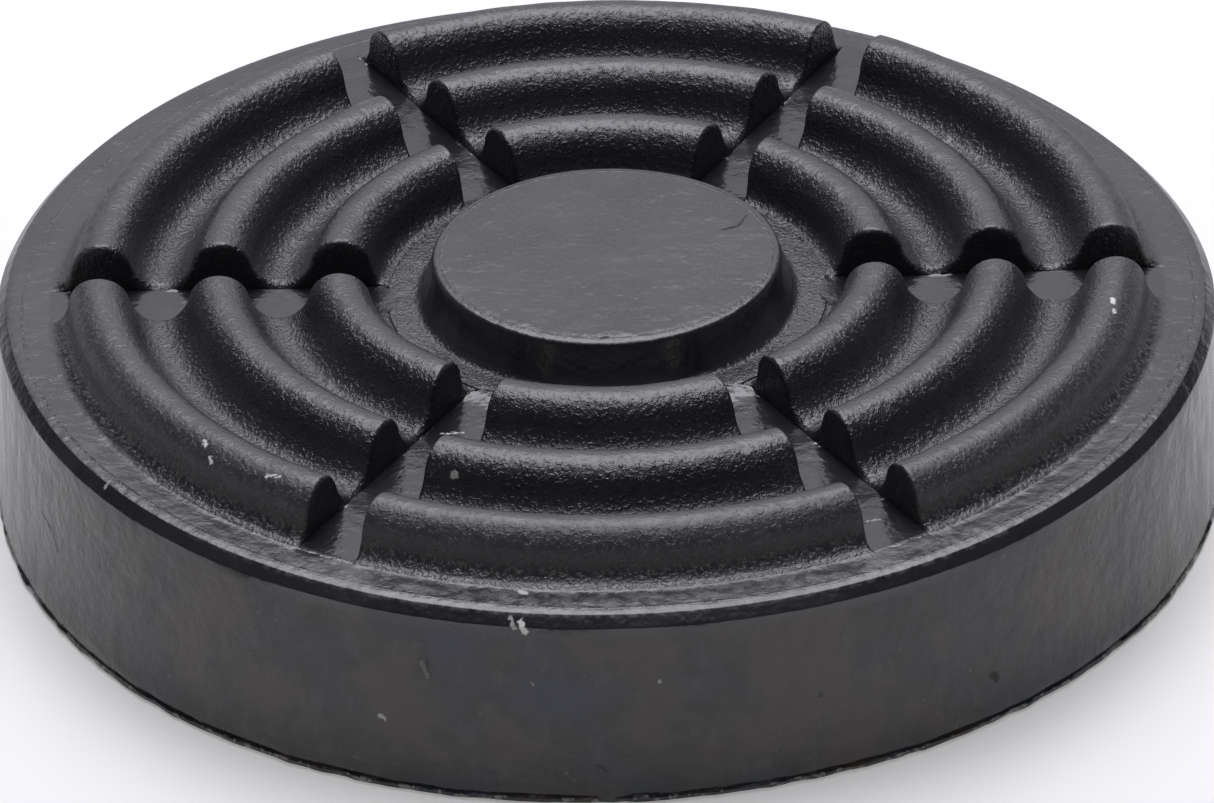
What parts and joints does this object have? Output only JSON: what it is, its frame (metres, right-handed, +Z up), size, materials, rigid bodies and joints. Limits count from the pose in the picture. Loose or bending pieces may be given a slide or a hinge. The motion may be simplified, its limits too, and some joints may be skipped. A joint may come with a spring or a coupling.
{
  "type": "lift arm rubber pad",
  "caption": "Moulded round rubber pad for a vehicle lift arm, with ring ribs, radial channels and a flat centre boss on its top.",
  "frame": {"origin": "centre of the flat underside", "axes": "+Z up, towards the ribbed face and along the pad's axis; +X along the middle of one channel; +Y completes the right-handed set"},
  "size_m": [0.12, 0.12, 0.0253],
  "materials": {
    "rubber": "black moulded rubber, semi-matt, with dusty smears and small nicks"
  },
  "bodies": {
    "root": {"rubber_pad": "rubber"}
  },
  "joints": []
}
